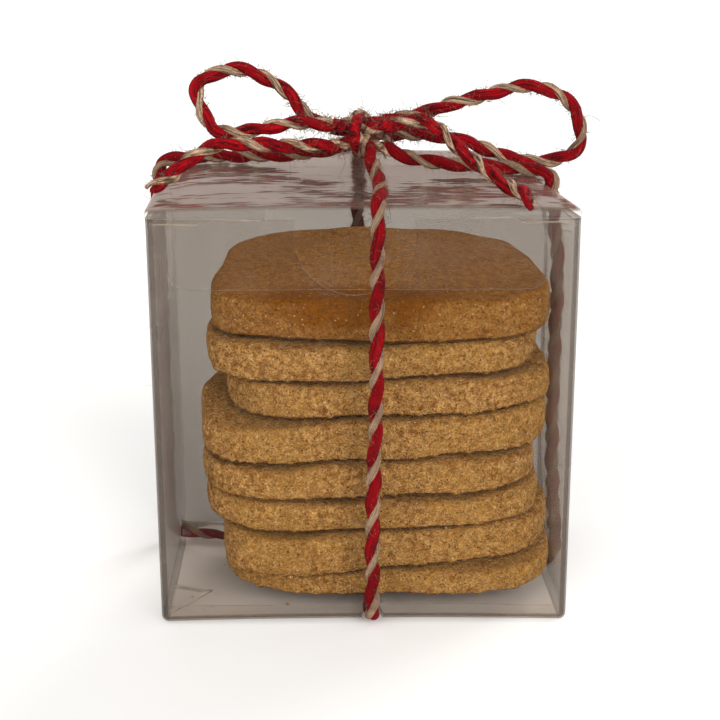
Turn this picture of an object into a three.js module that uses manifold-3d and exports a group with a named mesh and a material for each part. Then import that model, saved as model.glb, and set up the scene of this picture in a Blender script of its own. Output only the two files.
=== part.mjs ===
// Gift pack of graham crackers: a shut clear folded-film box with eight crackers stacked flat in it,
// tied both ways with two-ply twine that ends in a knot and a bow on the lid.
// Millimetres, +Z up, the front of the box faces -Y, origin under the middle of the box.
import * as THREE from 'three';
import { mergeVertices } from 'three/addons/utils/BufferGeometryUtils.js';
import Module from 'manifold-3d';

const wasm = await Module();
wasm.setup();

// Driving dimensions
const boxWidth = 76;
const boxDepth = 48;
const wallTop = 77.4;
const film = 0.4;
const gap = 0.3;
const foldRadius = 1.4;
const halfWidth = boxWidth / 2;
const halfDepth = boxDepth / 2;

const lidFront = 79;
const lidSlope = 1.4;
const lidDroop = 1.9;
const flapDrop = 14.4;
const flapHalfWidth = 33.6;
const dustFlapLength = 20;
const notchRadius = 10.7;
const notchCentre = { x: -1.6, z: 74.4 };

const twineRadius = 1.45;
const twineReach = twineRadius + gap;
const twinePress = 0.76;

const crackerHalfDepth = 21.2;
const stackTilt = 0.0945;
const topPlane = { height: 64, slope: 0.003 };
const crackers = [
  { height: 55.2, slope: 0.003, halfWidth: 34.45, x: 3.15, y: 1.5, turn: -0.8, back: 3.8, taper: 0.2 },
  { height: 48.2, slope: 0.004, halfWidth: 33.2, x: 1.1, y: 1.3, turn: 3.9, back: 3.2, taper: 0.14 },
  { height: 40.8, slope: 0.012, halfWidth: 32.3, x: 4.3, y: 1.4, turn: 3.5, back: 3.2, taper: 0.14 },
  { height: 32.6, slope: 0.007, halfWidth: 34.75, x: 1.2, y: 0.5, turn: 7.2, back: 3.0, taper: 0.14 },
  { height: 25.8, slope: 0.010, halfWidth: 33.75, x: 0.55, y: -0.2, turn: 3.5, back: 3.2, taper: 0.14 },
  { height: 19.2, slope: 0.006, halfWidth: 33.7, x: 1.7, y: 0.1, turn: 2.1, back: 3.2, taper: 0.14 },
  { height: 10.5, slope: 0.028, halfWidth: 33.75, x: 3.1, y: 0.5, turn: 7.2, back: 3.0, taper: 0.14 },
  { height: 5.3, slope: 0.008, halfWidth: 33.65, x: 4.85, y: 1.0, turn: -2.8, back: 3.2, taper: 0.14 },
];

const filmMaterial = () => new THREE.MeshStandardMaterial({ color: 0xb9b0a4, roughness: 0.08, metalness: 0 });
const crackerMaterial = () => new THREE.MeshStandardMaterial({ color: 0xa8743f, roughness: 0.85, metalness: 0 });
const twineMaterial = () => new THREE.MeshStandardMaterial({ color: 0xa8301f, roughness: 0.9, metalness: 0 });

const group = new THREE.Group();

function addPart(name, geometry, material) {
  const mesh = new THREE.Mesh(geometry, material);
  mesh.name = name;
  group.add(mesh);
}

// Seeded random numbers, so that every run gives the same crackers.
function seededRandom(seed) {
  let state = seed;
  return () => {
    state = (state * 1664525 + 1013904223) % 4294967296;
    return state / 4294967296;
  };
}

const clamp = THREE.MathUtils.clamp;
const smoothstep = THREE.MathUtils.smoothstep;

// Keeps only positions and joins the vertices that coincide, which closes the mesh.
function weld(geometry) {
  geometry.deleteAttribute('normal');
  geometry.deleteAttribute('uv');
  return mergeVertices(geometry, 1e-4);
}

function moveVertices(geometry, place) {
  const position = geometry.attributes.position;
  const point = new THREE.Vector3();
  for (let i = 0; i < position.count; i += 1) {
    point.fromBufferAttribute(position, i);
    place(point);
    position.setXYZ(i, point.x, point.y, point.z);
  }
  return geometry;
}

function toSolid(geometry) {
  const welded = weld(geometry);
  return new wasm.Manifold(new wasm.Mesh({
    numProp: 3,
    vertProperties: Float32Array.from(welded.attributes.position.array),
    triVerts: Uint32Array.from(welded.index.array),
  }));
}

function fromSolid(solid) {
  const mesh = solid.getMesh();
  const geometry = new THREE.BufferGeometry();
  geometry.setAttribute('position', new THREE.BufferAttribute(mesh.vertProperties, 3));
  geometry.setIndex(new THREE.BufferAttribute(mesh.triVerts, 1));
  geometry.computeVertexNormals();
  return geometry;
}

// ---- Twine routes -------------------------------------------------------------------------------

const wrapFront = { x: 1.4, y: -halfDepth };
const wrapBack = { x: -0.5, y: halfDepth };
const wrapLeft = { x: -halfWidth, y: 15 };
const wrapRight = { x: halfWidth, y: 0 };

// The taut twine pulls the right wall in, most at the lid, and the left wall a little.
function pinch(point) {
  const high = 2.8 * (0.4 + 0.6 * smoothstep(point.z, 0, 30)) + 1.4 * smoothstep(point.z, 64, 78);
  const low = 0.8 * smoothstep(point.z, 40, 78);
  const right = clamp(point.x / halfWidth, 0, 1) ** 3 * (1 - clamp(Math.abs(point.y - wrapRight.y) / halfDepth, 0, 1));
  const left = clamp(-point.x / halfWidth, 0, 1) ** 3 * (1 - clamp(Math.abs(point.y - wrapLeft.y) / 9, 0, 1));
  point.x += left * low - right * high;
}

const frontBackRoute = [
  [1.0, -4.0, 85.7], [2.3, -10, 82.7], [3.0, -18, 81.4], [2.8, -22.4, 81.1], [2.5, -25.3, 80.3],
  [2.3, -25.9, 77.2], [2.3, -25.8, 66], [2.1, -25.8, 45], [1.6, -25.8, 26], [1.4, -25.8, 9],
  [1.4, -25.8, 4.4], [1.4, -25.0, 2.2], [1.3, -22, 1.6], [0.9, -14, 1.56], [0.4, 0, 1.56], [-0.1, 14, 1.56], [-0.4, 22, 1.6],
  [-0.5, 25.0, 2.2], [-0.5, 25.8, 4.4], [-0.6, 25.8, 9], [-0.6, 25.8, 40], [-0.6, 25.8, 72],
  [-0.6, 26.1, 79.5], [-0.6, 25.0, 82.1], [-0.6, 21.5, 82.5], [-0.5, 12, 82.7], [-0.3, 4.2, 85.2],
];

const leftRightRoute = [
  [-3.8, 2.4, 85.2], [-11.6, 6.4, 83.2], [-17.5, 10, 82.2], [-25.7, 12.8, 81.6], [-32, 14.4, 81.1],
  [-36.4, 15, 80.7], [-39.0, 15, 79.6], [-39.7, 15, 76.5], [-39.9, 15, 60], [-39.9, 15, 20],
  [-39.9, 15, 8], [-39.8, 15, 4.4], [-38.9, 15, 2.2], [-36, 15, 1.6], [-22, 12.6, 1.6],
  [-13, 10.2, 1.7], [-5, 8.5, 4.1], [0.3, 7.4, 4.85], [5.4, 6.3, 4.1], [13.4, 4.3, 1.7],
  [23, 1.6, 1.6], [34, 0, 1.6], [37.6, 0, 2.1], [38.7, 0, 4.2], [38.5, 0, 8],
  [37.4, 0, 24], [37.1, 0, 45], [37.1, 0, 64], [36.1, 0, 72], [35.7, 0, 77.4],
  [35.0, 0, 80.2], [31.6, 0.2, 81.1], [26, 0.4, 81.7], [17.3, 0.5, 82.2], [10, 0.6, 83.1], [4.2, 0.6, 85.2],
];

const bowLoopLeftRoute = [
  [-4.0, -1.6, 89.9], [-8, -2.3, 90.3], [-13.2, -3, 90.5], [-19.1, -3.5, 89.4], [-23.4, -3.4, 88.8],
  [-27.0, -2.8, 89.4], [-28.9, -2, 91.9], [-29.9, -1, 94.3], [-30.3, 0, 96.3], [-29.2, 1, 97.9],
  [-27, 2, 98.9], [-22.5, 3, 99.5], [-17.4, 4, 97.5], [-13.4, 4.2, 94.6], [-11, 4.2, 91.6],
  [-8, 3.6, 89.4], [-4.3, 2.4, 88.5],
];

const bowLoopRightRoute = [
  [3.9, 1.8, 90.0], [7.1, 3, 90.5], [11.8, 4, 91.2], [16.4, 4, 92.8], [22, 4, 94.2], [27.6, 4, 95.8],
  [31.3, 4, 96.1], [35.1, 4.5, 95.3], [38.4, 5, 93.4], [40.5, 5.5, 90.5], [41.4, 6, 87.5],
  [41.4, 6.5, 85.2], [40.4, 7, 83.3], [37.6, 7.4, 81.9], [34.2, 7.2, 81.3], [30.7, 7, 81.6],
  [27.9, 7, 82.2], [25.3, 6.6, 83.2], [20.3, 5.6, 85.2], [15.5, 4.9, 86.6], [10, 4.5, 87.1], [4.6, 4.0, 87.1],
];

const tailLeftRoute = [
  [-4.2, -2.6, 86.3], [-8, -3.6, 86.5], [-13.3, -4.8, 86.7], [-20.4, -7, 87.4], [-24.4, -7.3, 87.6],
  [-28.3, -7.2, 86.5], [-32, -7.8, 84.2], [-34.6, -9.4, 82.1], [-36.6, -11.4, 80.9], [-38.0, -13.4, 80.5],
];

const tailRightRoute = [
  [4.2, -2.0, 89.7], [7.4, -2.4, 90.5], [11.2, -3.2, 90.9], [14.1, -5, 89.6], [16.7, -7.5, 87.3],
  [18.7, -9.5, 85.8], [20.9, -11.5, 84.3], [23.9, -15, 82.4], [26.3, -18.2, 81.4], [28.0, -22, 81.1],
  [28.9, -25.8, 80.0],
];

function twineTube(route, steps) {
  const section = new THREE.Shape();
  section.absarc(0, 0, twineRadius, 0, 2 * Math.PI);
  const path = new THREE.CatmullRomCurve3(route.map((point) => new THREE.Vector3(...point)), false, 'centripetal');
  return weld(new THREE.ExtrudeGeometry(section, { steps, curveSegments: 4, bevelEnabled: false, extrudePath: path }));
}

// Under the floor the pack's weight presses the twine flat.
function press(x, y) {
  const inX = 1 - smoothstep(Math.abs(x), halfWidth - 6, halfWidth - 2);
  const inY = 1 - smoothstep(Math.abs(y), halfDepth - 6, halfDepth - 1.5);
  return 1 - (1 - twinePress) * inX * inY;
}

function wrapTube(route, steps) {
  return moveVertices(twineTube(route, steps), (point) => {
    if (point.z < 8) point.z *= press(point.x, point.y);
  });
}

// ---- Clear box ----------------------------------------------------------------------------------

// A bump of the film over a twine that lies `away` from the point.
function ridge(away, height, reach) {
  return height * Math.max(0, 1 - Math.abs(away / reach) ** 1.6);
}

// Underside of the floor: it rests on its four folds and rides up over the two twines below it.
function floorRise(x, y) {
  const along = clamp((y + halfDepth) / boxDepth, 0, 1);
  const lengthwise = THREE.MathUtils.lerp(wrapFront.x, wrapBack.x, along);
  const nearFold = smoothstep(Math.abs(y), halfDepth - 6, halfDepth - 1);
  const tall = (2 * twineRadius + gap + 0.15) * press(0, y) + 0.1;
  const first = ridge(x - lengthwise, tall + 0.8 * nearFold, THREE.MathUtils.lerp(8, 3.9, nearFold));
  const across = THREE.MathUtils.lerp(wrapLeft.y, wrapRight.y, clamp((x + 34) / 66, 0, 1));
  const nearSide = smoothstep(Math.abs(x), halfWidth - 7, halfWidth - 1);
  const over = 3.3 * (1 - smoothstep(Math.abs(x - 0.3), 4, 14));
  const crossing = (2 * twineRadius + gap + 0.15 + over) * press(x, 0) + 0.1;
  const second = ridge(y - across, crossing + 0.8 * nearSide, THREE.MathUtils.lerp(9, 4.3, nearSide));
  return Math.max(first, second);
}

// Top face of the lid: it rises to the back, and its corners stay lower.
function lidHeight(x, y) {
  const back = (y + halfDepth) / boxDepth;
  return lidFront + lidSlope * back - lidDroop * Math.abs(x / halfWidth) ** 5 * (0.35 + 0.65 * back);
}

// A sheet over a grid of lines, between a lower and an upper face.
function sheet(linesX, linesY, lower, upper) {
  const countX = linesX.length - 1;
  const countY = linesY.length - 1;
  const geometry = new THREE.BoxGeometry(1, 1, 1, countX, countY, 1);
  return moveVertices(geometry, (point) => {
    const x = linesX[Math.round((point.x + 0.5) * countX)];
    const y = linesY[Math.round((point.y + 0.5) * countY)];
    point.set(x, y, point.z < 0 ? lower(x, y) : upper(x, y));
    pinch(point);
  });
}

function spread(from, to, count) {
  return Array.from({ length: count + 1 }, (_, i) => from + (to - from) * i / count);
}

const wallLinesX = [-30, -18, -8, -4, -1.9, -0.5, 1.4, 2.8, 4.8, 10, 20, 30];
const wallLinesY = [-18, -9, -3.5, -1.5, 0, 1.5, 3.5, 7.4, 11.5, 13.5, 15, 16.5, 18.5];

// The outline of the four walls, with points where the floor's lines meet it.
function wallOutline(inset) {
  const a = halfWidth - inset;
  const b = halfDepth - inset;
  const r = foldRadius - inset;
  const outline = new THREE.Shape();
  outline.moveTo(-a + r, -b);
  wallLinesX.forEach((x) => outline.lineTo(x, -b));
  outline.lineTo(a - r, -b);
  outline.absarc(a - r, -b + r, r, -Math.PI / 2, 0);
  wallLinesY.forEach((y) => outline.lineTo(a, y));
  outline.lineTo(a, b - r);
  outline.absarc(a - r, b - r, r, 0, Math.PI / 2);
  [...wallLinesX].reverse().forEach((x) => outline.lineTo(x, b));
  outline.lineTo(-a + r, b);
  outline.absarc(-a + r, b - r, r, Math.PI / 2, Math.PI);
  [...wallLinesY].reverse().forEach((y) => outline.lineTo(-a, y));
  outline.lineTo(-a, -b + r);
  outline.absarc(-a + r, -b + r, r, Math.PI, 1.5 * Math.PI);
  return outline;
}

// The walls' outline as a closed block between rows of heights.
function outlineBlock(inset, rows) {
  const steps = rows.length - 1;
  const blank = { depth: 1, steps, curveSegments: 3, bevelEnabled: false };
  return moveVertices(new THREE.ExtrudeGeometry(wallOutline(inset), blank), (point) => {
    point.z = rows[Math.round(point.z * steps)];
    pinch(point);
  });
}

// Everything below the floor film, or below its upper face when raised by the film.
function belowFloor(raised) {
  const x = [-halfWidth - 2, -halfWidth, ...wallLinesX, halfWidth, halfWidth + 2];
  const y = [-halfDepth - 2, -halfDepth, ...wallLinesY, halfDepth, halfDepth + 2];
  return toSolid(sheet(x, y, () => -6, (px, py) => floorRise(px, py) + raised));
}

function sleeve() {
  const outer = toSolid(outlineBlock(0, [-2, 30, 64, wallTop])).subtract(belowFloor(0));
  const inner = toSolid(outlineBlock(film, [-2, 30, 64, wallTop + 4])).subtract(belowFloor(film));
  return outer.subtract(inner).subtract(toSolid(thumbNotch()));
}

function thumbNotch() {
  const cut = new THREE.Shape();
  cut.absarc(0, 0, notchRadius, Math.PI, 2 * Math.PI);
  cut.lineTo(notchRadius, 10);
  cut.lineTo(-notchRadius, 10);
  const geometry = new THREE.ExtrudeGeometry(cut, { depth: 1.2, curveSegments: 18, bevelEnabled: false });
  return geometry.rotateX(Math.PI / 2).translate(notchCentre.x, -halfDepth + film + gap / 2, notchCentre.z);
}

function lidSheet() {
  const x = spread(-halfWidth - 0.3, halfWidth + 0.3, 10);
  const y = spread(-halfDepth - 0.3, halfDepth + 0.3, 8);
  return sheet(x, y, (px, py) => lidHeight(px, py) - film, lidHeight);
}

function lidHinge() {
  const x = spread(-halfWidth + foldRadius, halfWidth - foldRadius, 10);
  const y = [halfDepth - film, halfDepth - 0.05];
  return sheet(x, y, () => wallTop - 2, (px, py) => lidHeight(px, py) - film / 2);
}

// The flap that tucks in behind the front wall, with round lower corners.
function tuckFlap() {
  const top = lidFront - flapDrop;
  const x = spread(-flapHalfWidth, flapHalfWidth, 10);
  const y = [-halfDepth + film + gap, -halfDepth + 2 * film + gap];
  const blank = toSolid(sheet(x, y, () => top, (px, py) => lidHeight(px, py) - film / 2));
  const round = 4;
  const shape = new THREE.Shape();
  shape.absarc(-flapHalfWidth - 1 + round, top + round, round, Math.PI, 1.5 * Math.PI);
  shape.absarc(flapHalfWidth - 1 - round, top + round, round, 1.5 * Math.PI, 2 * Math.PI);
  shape.lineTo(flapHalfWidth - 1, 90);
  shape.lineTo(-flapHalfWidth - 1, 90);
  const cut = new THREE.ExtrudeGeometry(shape, { depth: 4, curveSegments: 4, bevelEnabled: false });
  return blank.intersect(toSolid(cut.rotateX(Math.PI / 2).translate(0, -halfDepth + 3, 0)));
}

// The narrow flaps that fold in from the side walls, just under the lid.
function dustFlap(side) {
  const wall = side * (halfWidth - film / 2);
  const tip = side * (halfWidth - dustFlapLength);
  const x = side < 0 ? [wall, -30, -24, tip] : [tip, 24, 30, wall];
  const y = [-halfDepth + 2.4, -9, 0, 9, halfDepth - 2.4];
  const level = (px) => wallTop - 0.6 - 0.03 * (halfWidth - Math.abs(px));
  return sheet(x, y, (px) => level(px) - film, level);
}

function clearBox() {
  const lid = toSolid(lidSheet()).intersect(toSolid(outlineBlock(0, [wallTop - 8, wallTop + 8])));
  return fromSolid(sleeve().add(lid).add(toSolid(lidHinge())).add(tuckFlap())
    .add(toSolid(dustFlap(-1))).add(toSolid(dustFlap(1))));
}

addPart('clear_box', clearBox(), filmMaterial());

// ---- Crackers -----------------------------------------------------------------------------------

// Rows of a cracker's section: share of the way out or inset from the edge, and height from 0 to 1.
const crackerRows = [
  { share: 0, height: 0 }, { share: 0.5, height: 0 }, { inset: 4.6, height: 0 }, { inset: 1.7, height: 0.05 },
  { inset: 0.5, height: 0.2 }, { inset: 0, height: 0.5 }, { inset: 0.5, height: 0.8 },
  { inset: 1.7, height: 0.95 }, { inset: 4.6, height: 1 }, { share: 0.5, height: 1 }, { share: 0, height: 1 },
];
const frontSquareness = 3.6;

function cracker(index) {
  const own = crackers[index];
  const above = index === 0 ? topPlane : crackers[index - 1];
  const random = seededRandom(71 + index);
  const waves = [3, 5, 8].map((turns) => ({ turns, phase: 2 * Math.PI * random(), size: 0.9 / turns }));
  const profile = crackerRows.map((row, i) => new THREE.Vector2(row.share === 0 ? 0 : 1 + i, row.height));
  const geometry = weld(new THREE.LatheGeometry(profile, 28));
  const turn = THREE.MathUtils.degToRad(own.turn);
  const height = (plane, x, y) => plane.height + plane.slope * x + stackTilt * y;
  return moveVertices(geometry, (point) => {
    const angle = Math.atan2(-point.z, point.x);
    const radius = Math.hypot(point.x, point.z);
    const row = radius < 0.5 ? crackerRows[point.y < 0.5 ? 0 : 10] : crackerRows[Math.round(radius) - 1];
    const power = 2 / (Math.sin(angle) < 0 ? frontSquareness : own.back);
    const out = Math.sign(Math.sin(angle)) * Math.abs(Math.sin(angle)) ** power;
    const side = Math.sign(Math.cos(angle)) * Math.abs(Math.cos(angle)) ** power;
    let x = own.halfWidth * side * (1 - own.taper * (1 + out) / 2);
    let y = crackerHalfDepth * out;
    const reach = Math.hypot(x, y);
    const wobble = waves.reduce((sum, wave) => sum + wave.size * Math.sin(wave.turns * angle + wave.phase), 0);
    const scale = row.inset === undefined ? row.share : 1 - (row.inset + 0.2 + wobble) / reach;
    x *= scale;
    y *= scale;
    const px = own.x + x * Math.cos(turn) - y * Math.sin(turn);
    const py = own.y + x * Math.sin(turn) + y * Math.cos(turn);
    const bottom = height(own, px, py) + gap / 2;
    const top = height(above, px, py) - gap / 2;
    point.set(px, py, bottom + (top - bottom) * row.height);
  });
}

crackers.forEach((_, index) => addPart(`cracker_${index + 1}`, cracker(index), crackerMaterial()));

// ---- Twine --------------------------------------------------------------------------------------

// The knot: a round core with one turn of twine drawn down over its front.
function knot() {
  const core = new THREE.SphereGeometry(1, 14, 10).scale(3.0, 3.1, 3.7).translate(0, 0.2, 88.2);
  const turn = twineTube([[-0.6, 1.4, 91.6], [-0.7, -1.2, 91.4], [-0.6, -2.7, 88.6], [-0.3, -1.4, 85.2]], 10);
  return fromSolid(toSolid(core).add(toSolid(turn)));
}

addPart('twine_front_back', wrapTube(frontBackRoute, 64), twineMaterial());
addPart('twine_left_right', wrapTube(leftRightRoute, 74), twineMaterial());
addPart('knot', knot(), twineMaterial());
addPart('bow_loop_left', twineTube(bowLoopLeftRoute, 34), twineMaterial());
addPart('bow_loop_right', twineTube(bowLoopRightRoute, 42), twineMaterial());
addPart('tail_left', twineTube(tailLeftRoute, 18), twineMaterial());
addPart('tail_right', twineTube(tailRightRoute, 18), twineMaterial());

export default group;
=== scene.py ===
import math
import random

import bmesh
import bpy
from mathutils import Matrix, Vector, noise


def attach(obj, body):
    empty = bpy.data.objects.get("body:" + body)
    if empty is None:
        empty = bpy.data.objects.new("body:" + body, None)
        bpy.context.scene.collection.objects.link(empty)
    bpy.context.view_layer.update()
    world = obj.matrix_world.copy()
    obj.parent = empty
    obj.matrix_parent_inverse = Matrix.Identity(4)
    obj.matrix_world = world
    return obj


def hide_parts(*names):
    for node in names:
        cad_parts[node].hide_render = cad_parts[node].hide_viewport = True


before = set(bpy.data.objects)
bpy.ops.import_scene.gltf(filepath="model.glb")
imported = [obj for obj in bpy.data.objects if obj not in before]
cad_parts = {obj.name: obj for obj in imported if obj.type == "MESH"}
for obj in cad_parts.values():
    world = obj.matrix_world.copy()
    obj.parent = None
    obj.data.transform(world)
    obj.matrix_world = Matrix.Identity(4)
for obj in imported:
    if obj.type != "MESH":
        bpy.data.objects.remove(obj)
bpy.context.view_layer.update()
print("frame loaded:", len(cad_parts), "nodes")

# Shapes below are worked out in millimetres and scaled to metres once, when they are done.
metresPerMm = 0.001


def linearColour(hexColour):
    channels = [int(hexColour[i:i + 2], 16) / 255 for i in (1, 3, 5)]
    return tuple(c / 12.92 if c <= 0.04045 else ((c + 0.055) / 1.055) ** 2.4 for c in channels) + (1,)


def addNode(tree, kind, settings=None, links=None):
    node = tree.nodes.new(kind)
    for name, value in (settings or {}).items():
        if isinstance(name, int) or name in node.inputs:
            node.inputs[name].default_value = value
        else:
            setattr(node, name, value)
    for name, source in (links or {}).items():
        tree.links.new(source.outputs[0] if hasattr(source, "outputs") else source, node.inputs[name])
    return node


def clamp(value, low, high):
    return max(low, min(high, value))


def smoothStep(value, low, high):
    t = clamp((value - low) / (high - low), 0, 1)
    return t * t * (3 - 2 * t)


def mix(a, b, share):
    return a + (b - a) * share


# Noise in layers, each with a length and a height in mm.
def layeredNoise(spot, layers):
    return sum(noise.noise(spot / length) * height for length, height in layers)


def newMaterial(name):
    material = bpy.data.materials.new(name)
    material.use_nodes = True
    material.node_tree.nodes.clear()
    return material, material.node_tree


def millimetres(tree):
    place = addNode(tree, "ShaderNodeTexCoord").outputs["Object"]
    return addNode(tree, "ShaderNodeMapping", {"Scale": (1000, 1000, 1000)}, {"Vector": place})


def addObject(name, data):
    thing = bpy.data.objects.new(name, data)
    bpy.context.scene.collection.objects.link(thing)
    return thing


# Ends a bmesh in metres: it becomes the mesh of a new object.
def addSolid(name, bm, materials):
    mesh = bpy.data.meshes.new(name)
    bm.to_mesh(mesh)
    bm.free()
    for material in materials:
        mesh.materials.append(material)
    return addObject(name, mesh)


# The mesh of an object as its bevel or its modifiers leave it.
def evaluatedMesh(thing):
    graph = bpy.context.evaluated_depsgraph_get()
    return bpy.data.meshes.new_from_object(thing.evaluated_get(graph), depsgraph=graph)


def applyModifiers(piece):
    applied = evaluatedMesh(piece)
    piece.modifiers.clear()
    piece.data = applied


def scaleToMetres(bm):
    bmesh.ops.scale(bm, vec=(metresPerMm,) * 3, verts=bm.verts)


def finishPiece(name, bm, materials, slot, *nodes):
    scaleToMetres(bm)
    piece = addSolid(name, bm, materials)
    for polygon in piece.data.polygons:
        polygon.use_smooth = True
    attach(piece, "root")
    if nodes:
        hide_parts(*nodes)
    return piece


# The photo's own view of the box: its place in mm from the middle of the footprint, and where it looks.
photoView = {
    "place": (-4.19, -297.51, 140.09),
    "down": 18.04,
    "turn": 0.877,
    "lens": 80.83,
    "sensor": 36,
    "shift": (-0.0058, 0.0058),
    "near": 10,
}


def makeCamera():
    camera = addObject("camera", bpy.data.cameras.new("camera"))
    camera.location = Vector(photoView["place"]) * metresPerMm
    camera.rotation_euler = (math.radians(90 - photoView["down"]), 0, -math.radians(photoView["turn"]))
    camera.data.sensor_width = photoView["sensor"]
    camera.data.lens = photoView["lens"]
    camera.data.shift_x, camera.data.shift_y = photoView["shift"]
    camera.data.clip_start = photoView["near"] * metresPerMm
    bpy.context.scene.camera = camera


makeCamera()


# Twine of two plies, one dyed red and one left natural, about 3 mm thick.
twine = {
    "diameter": 2.9,
    "plyPitch": 9.3,
    "plies": [{"radius": 1.06, "off": 0.39, "turn": 0.0, "uneven": 0.14},
              {"radius": 0.65, "off": 0.7, "turn": math.pi, "uneven": 0.34}],
    "unevenEvery": 2.6,
    "step": 0.4,
    "knotTurn": 1.3,
    "pressed": 0.76,
    "pressBelow": 8,
    "pressEndsX": (32, 36),
    "pressEndsY": (18, 22.5),
    "frayLength": 3.5,
    "frayOpens": 0.3,
    "frayThins": 0.45,
}

# Routes of the middle line in mm, with the same points as the solids.
frontBackRoute = [
    (1.0, -4.0, 85.7), (2.3, -10, 82.7), (3.0, -18, 81.4), (2.8, -22.4, 81.1), (2.5, -25.3, 80.3),
    (2.3, -25.9, 77.2), (2.3, -25.8, 66), (2.1, -25.8, 45), (1.6, -25.8, 26), (1.4, -25.8, 9),
    (1.4, -25.8, 4.4), (1.4, -25.0, 2.2), (1.3, -22, 1.6), (0.9, -14, 1.56), (0.4, 0, 1.56),
    (-0.1, 14, 1.56), (-0.4, 22, 1.6), (-0.5, 25.0, 2.2), (-0.5, 25.8, 4.4), (-0.6, 25.8, 9),
    (-0.6, 25.8, 40), (-0.6, 25.8, 72), (-0.6, 26.1, 79.5), (-0.6, 25.0, 82.1), (-0.6, 21.5, 82.5),
    (-0.5, 12, 82.7), (-0.3, 4.2, 85.2),
]
leftRightRoute = [
    (-3.8, 2.4, 85.2), (-11.6, 6.4, 83.2), (-17.5, 10, 82.2), (-25.7, 12.8, 81.6), (-32, 14.4, 81.1),
    (-36.4, 15, 80.7), (-39.0, 15, 79.6), (-39.7, 15, 76.5), (-39.9, 15, 60), (-39.9, 15, 20),
    (-39.9, 15, 8), (-39.8, 15, 4.4), (-38.9, 15, 2.2), (-36, 15, 1.6), (-22, 12.6, 1.6),
    (-13, 10.2, 1.7), (-5, 8.5, 4.1), (0.3, 7.4, 4.85), (5.4, 6.3, 4.1), (13.4, 4.3, 1.7),
    (23, 1.6, 1.6), (34, 0, 1.6), (37.6, 0, 2.1), (38.7, 0, 4.2), (38.5, 0, 8),
    (37.4, 0, 24), (37.1, 0, 45), (37.1, 0, 64), (36.1, 0, 72), (35.7, 0, 77.4),
    (35.0, 0, 80.2), (31.6, 0.2, 81.1), (26, 0.4, 81.7), (17.3, 0.5, 82.2), (10, 0.6, 83.1),
    (4.2, 0.6, 85.2),
]
loopLeftRoute = [
    (-4.0, -1.6, 89.9), (-8, -2.3, 90.3), (-13.2, -3, 90.5), (-19.1, -3.5, 89.4), (-23.4, -3.4, 88.8),
    (-27.0, -2.8, 89.4), (-28.9, -2, 91.9), (-29.9, -1, 94.3), (-30.3, 0, 96.3), (-29.2, 1, 97.9),
    (-27, 2, 98.9), (-22.5, 3, 99.5), (-17.4, 4, 97.5), (-13.4, 4.2, 94.6), (-11, 4.2, 91.6),
    (-8, 3.6, 89.4), (-4.3, 2.4, 88.5),
]
loopRightRoute = [
    (3.9, 1.8, 90.0), (7.1, 3, 90.5), (11.8, 4, 91.2), (16.4, 4, 92.8), (22, 4, 94.2), (27.6, 4, 95.8),
    (31.3, 4, 96.1), (35.1, 4.5, 95.3), (38.4, 5, 93.4), (40.5, 5.5, 90.5), (41.4, 6, 87.5),
    (41.4, 6.5, 85.2), (40.4, 7, 83.3), (37.6, 7.4, 81.9), (34.2, 7.2, 81.3), (30.7, 7, 81.6),
    (27.9, 7, 82.2), (25.3, 6.6, 83.2), (20.3, 5.6, 85.2), (15.5, 4.9, 86.6), (10, 4.5, 87.1),
    (4.6, 4.0, 87.1),
]
tailLeftRoute = [
    (-4.2, -2.6, 86.3), (-8, -3.6, 86.5), (-13.3, -4.8, 86.7), (-20.4, -7, 87.4), (-24.4, -7.3, 87.6),
    (-28.3, -7.2, 86.5), (-32, -7.8, 84.2), (-34.6, -9.4, 82.1), (-36.6, -11.4, 80.9), (-38.0, -13.4, 80.5),
]
tailRightRoute = [
    (4.2, -2.0, 89.7), (7.4, -2.4, 90.5), (11.2, -3.2, 90.9), (14.1, -5, 89.6), (16.7, -7.5, 87.3),
    (18.7, -9.5, 85.8), (20.9, -11.5, 84.3), (23.9, -15, 82.4), (26.3, -18.2, 81.4), (28.0, -22, 81.1),
    (28.9, -25.8, 80.0),
]
# Inside the knot: what joins the loops, tails and wraps, and the turn drawn down over the front.
knotRoutes = [
    [(-5.5, -1.9, 90.1), (-2.4, -1.3, 90.0), (0, -0.9, 89.4), (2.4, -1.4, 89.5), (5.6, -2.2, 90.1)],
    [(-5.6, 3.0, 88.7), (-2.2, 2.0, 88.6), (0, 1.5, 89.2), (2.2, 1.6, 89.8), (5.4, 2.4, 90.2)],
    [(-5.7, -3.0, 86.3), (-2.6, -1.9, 86.6), (0, 0.4, 87.2), (2.6, 3.1, 87.2), (6.0, 4.1, 87.1)],
    [(-5.2, 3.2, 84.8), (-2.2, 1.6, 85.9), (0, 0.9, 86.1), (2.2, 0.7, 85.8), (5.6, 0.6, 84.7)],
    [(1.3, -5.3, 85.0), (0.8, -2.6, 86.6), (0.2, 0, 87.2), (-0.2, 2.6, 86.4), (-0.3, 5.5, 84.6)],
    [(0.6, 2.6, 88.6), (0.2, 1.9, 90.5), (-0.6, 0.2, 91.2), (-1.3, -2.0, 90.6), (-1.2, -3.4, 88.6),
     (-0.6, -3.1, 86.0), (0.1, -1.2, 85.0), (0.6, 1.2, 85.2)],
]


# A centripetal curve through the points, drawn finely between each two and then cut to even steps.
finePerSpan = 12


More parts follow.
